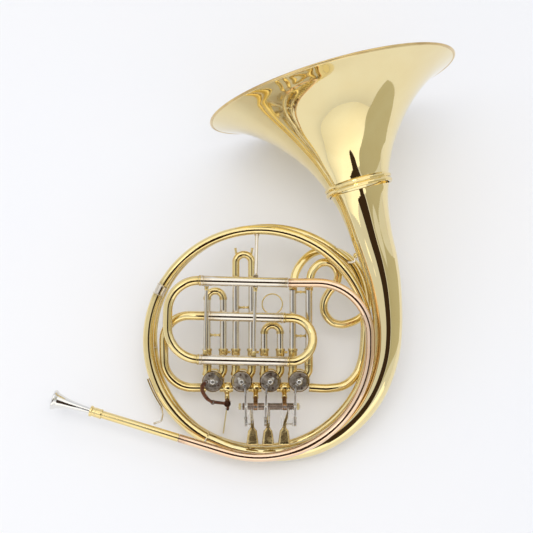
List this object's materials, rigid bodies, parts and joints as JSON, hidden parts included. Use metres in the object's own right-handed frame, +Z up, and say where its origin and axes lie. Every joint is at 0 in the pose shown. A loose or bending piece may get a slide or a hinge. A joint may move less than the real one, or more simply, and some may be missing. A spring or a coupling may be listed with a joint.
{
  "type": "french horn",
  "caption": "French horn lying bell down: coiled brass tubing, wide flared bell, rotary valves with finger levers, tuning slides and a silver mouthpiece.",
  "frame": {"origin": "centre of the bounding box in plan, at table height, with the horn lying on its bell rim and the rear ring tube", "axes": "+X towards the side of the ring away from the mouthpiece, +Y out of the bell mouth, +Z up from the table"},
  "size_m": [0.4874, 0.4882, 0.3022],
  "materials": {
    "lacquered_brass": "clear lacquered yellow brass, polished, with faint handling marks",
    "rose_brass": "clear lacquered rose brass, polished",
    "nickel_silver": "nickel silver, polished",
    "silver_plate": "silver plate, mirror polished",
    "rotor_steel": "turned steel, satin",
    "dark_bronze": "darkened bronze, worn"
  },
  "bodies": {
    "horn": {"bell_flare": "lacquered_brass", "bell_ring_upper": "lacquered_brass", "bell_ring_lower": "lacquered_brass", "bell_tail": "lacquered_brass", "ring_outer_upper": "lacquered_brass", "ring_outer_lower": "lacquered_brass", "exit_tube": "lacquered_brass", "ring_inner_upper": "lacquered_brass", "ring_inner_lower": "lacquered_brass", "leadpipe_inlet": "lacquered_brass", "leadpipe": "rose_brass", "mouthpiece_receiver": "lacquered_brass", "upper_sleeve": "nickel_silver", "lower_sleeve": "nickel_silver", "inner_sleeve": "nickel_silver", "strut_left": "nickel_silver", "strut_right": "nickel_silver", "s_tube": "lacquered_brass", "top_brace": "nickel_silver", "valve_1_casing": "lacquered_brass", "valve_1_plate": "nickel_silver", "valve_1_cap": "lacquered_brass", "valve_2_casing": "lacquered_brass", "valve_2_plate": "nickel_silver", "valve_2_cap": "lacquered_brass", "valve_3_casing": "lacquered_brass", "valve_3_plate": "nickel_silver", "valve_3_cap": "lacquered_brass", "valve_4_casing": "lacquered_brass", "valve_4_plate": "nickel_silver", "valve_4_cap": "lacquered_brass", "slide_1_receivers": "lacquered_brass", "slide_2_receivers": "lacquered_brass", "slide_3_receivers": "lacquered_brass", "slide_4_receivers": "lacquered_brass", "extension_loop": "lacquered_brass", "lever_bracket": "lacquered_brass", "thumb_post": "lacquered_brass", "leadpipe_brace": "lacquered_brass", "bell_brace": "lacquered_brass"},
    "mouthpiece": {"mouthpiece": "silver_plate"},
    "main_slide": {"main_slide": "lacquered_brass"},
    "second_slide": {"second_slide": "lacquered_brass"},
    "slide_1": {"slide_1": "nickel_silver"},
    "slide_2": {"slide_2": "nickel_silver"},
    "slide_3": {"slide_3": "nickel_silver"},
    "rotor_1": {"valve_1_rotor": "rotor_steel"},
    "rotor_2": {"valve_2_rotor": "rotor_steel"},
    "rotor_3": {"valve_3_rotor": "rotor_steel"},
    "rotor_4": {"valve_4_rotor": "rotor_steel"},
    "lever_1": {"lever_1": "lacquered_brass"},
    "rod_1": {"rod_1": "rotor_steel"},
    "lever_2": {"lever_2": "lacquered_brass"},
    "rod_2": {"rod_2": "rotor_steel"},
    "lever_3": {"lever_3": "lacquered_brass"},
    "rod_3": {"rod_3": "rotor_steel"},
    "thumb_lever": {"thumb_lever": "dark_bronze"},
    "thumb_link": {"thumb_link": "dark_bronze"}
  },
  "joints": [
    {"name": "mouthpiece_pull", "type": "slide", "parent": "horn", "child": "mouthpiece", "axis": [-0.9583, 0.2839, 0.0333], "range_m": [0, 0.02]},
    {"name": "main_slide_pull", "type": "slide", "parent": "horn", "child": "main_slide", "axis": [-0.9995, 0.0234, -0.0225], "range_m": [0, 0.035]},
    {"name": "second_slide_pull", "type": "slide", "parent": "horn", "child": "second_slide", "axis": [0.9995, -0.0234, 0.0225], "range_m": [0, 0.02]},
    {"name": "slide_1_pull", "type": "slide", "parent": "horn", "child": "slide_1", "axis": [-0.0087, 0.9563, 0.2922], "range_m": [0, 0.012]},
    {"name": "slide_2_pull", "type": "slide", "parent": "horn", "child": "slide_2", "axis": [-0.0087, 0.9563, 0.2922], "range_m": [0, 0.012]},
    {"name": "slide_3_pull", "type": "slide", "parent": "horn", "child": "slide_3", "axis": [-0.0087, 0.9563, 0.2922], "range_m": [0, 0.012]},
    {"name": "thumb_press", "type": "hinge", "parent": "horn", "child": "thumb_lever", "pos_m": [-0.0299, -0.17491, 0.04279], "axis": [-0.0284, -0.2924, 0.9559], "range_deg": [0, 36], "stiffness_Nm_per_rad": 0.02, "springref_deg": -20.05},
    {"name": "lever_1_press", "type": "hinge", "parent": "horn", "child": "lever_1", "pos_m": [-0.00216, -0.18151, 0.0621], "axis": [0.9996, 0, 0.0297], "range_deg": [0, 24], "stiffness_Nm_per_rad": 0.05, "springref_deg": -20.05},
    {"name": "lever_2_press", "type": "hinge", "parent": "horn", "child": "lever_2", "pos_m": [0.02743, -0.18151, 0.06298], "axis": [0.9996, 0, 0.0297], "range_deg": [0, 24], "stiffness_Nm_per_rad": 0.05, "springref_deg": -20.05},
    {"name": "lever_3_press", "type": "hinge", "parent": "horn", "child": "lever_3", "pos_m": [0.04592, -0.18151, 0.06352], "axis": [0.9996, 0, 0.0297], "range_deg": [0, 24], "stiffness_Nm_per_rad": 0.05, "springref_deg": -20.05},
    {"name": "rotor_1_turn", "type": "hinge", "parent": "horn", "child": "rotor_1", "pos_m": [-0.04761, -0.14527, 0.03626], "axis": [-0.0284, -0.2924, 0.9559], "range_deg": [0, 86.1]},
    {"name": "rotor_2_turn", "type": "hinge", "parent": "horn", "child": "rotor_2", "pos_m": [-0.01252, -0.14527, 0.03731], "axis": [-0.0284, -0.2924, 0.9559], "range_deg": [0, 86.1]},
    {"name": "rotor_3_turn", "type": "hinge", "parent": "horn", "child": "rotor_3", "pos_m": [0.02256, -0.14527, 0.03835], "axis": [-0.0284, -0.2924, 0.9559], "range_deg": [-86.1, 0]},
    {"name": "rotor_4_turn", "type": "hinge", "parent": "horn", "child": "rotor_4", "pos_m": [0.05764, -0.14527, 0.03939], "axis": [-0.0284, -0.2924, 0.9559], "range_deg": [-86.1, 0]},
    {"name": "rod_1_swing", "type": "hinge", "parent": "lever_1", "child": "rod_1", "pos_m": [-0.00698, -0.19861, 0.0358], "axis": [0.9996, 0, 0.0297], "range_deg": [-13.7, 0]},
    {"name": "rod_2_swing", "type": "hinge", "parent": "lever_2", "child": "rod_2", "pos_m": [0.01671, -0.19861, 0.0365], "axis": [0.9996, 0, 0.0297], "range_deg": [-13.7, 0]},
    {"name": "rod_3_swing", "type": "hinge", "parent": "lever_3", "child": "rod_3", "pos_m": [0.0527, -0.19861, 0.03757], "axis": [0.9996, 0, 0.0297], "range_deg": [-13.7, 0]},
    {"name": "thumb_link_swing", "type": "hinge", "parent": "thumb_lever", "child": "thumb_link", "pos_m": [-0.04751, -0.17405, 0.04629], "axis": [-0.0284, -0.2924, 0.9559], "range_deg": [-48.5, 0]}
  ],
  "couplings": [
    {"joint": "rotor_1_turn", "follows": "thumb_press", "ratio": 2.389},
    {"joint": "rotor_2_turn", "follows": "lever_1_press", "ratio": 3.583},
    {"joint": "rotor_3_turn", "follows": "lever_2_press", "ratio": -3.583},
    {"joint": "rotor_4_turn", "follows": "lever_3_press", "ratio": -3.583},
    {"joint": "rod_1_swing", "follows": "lever_1_press", "ratio": -0.567},
    {"joint": "rod_2_swing", "follows": "lever_2_press", "ratio": -0.567},
    {"joint": "rod_3_swing", "follows": "lever_3_press", "ratio": -0.567},
    {"joint": "thumb_link_swing", "follows": "thumb_press", "ratio": -1.344}
  ]
}
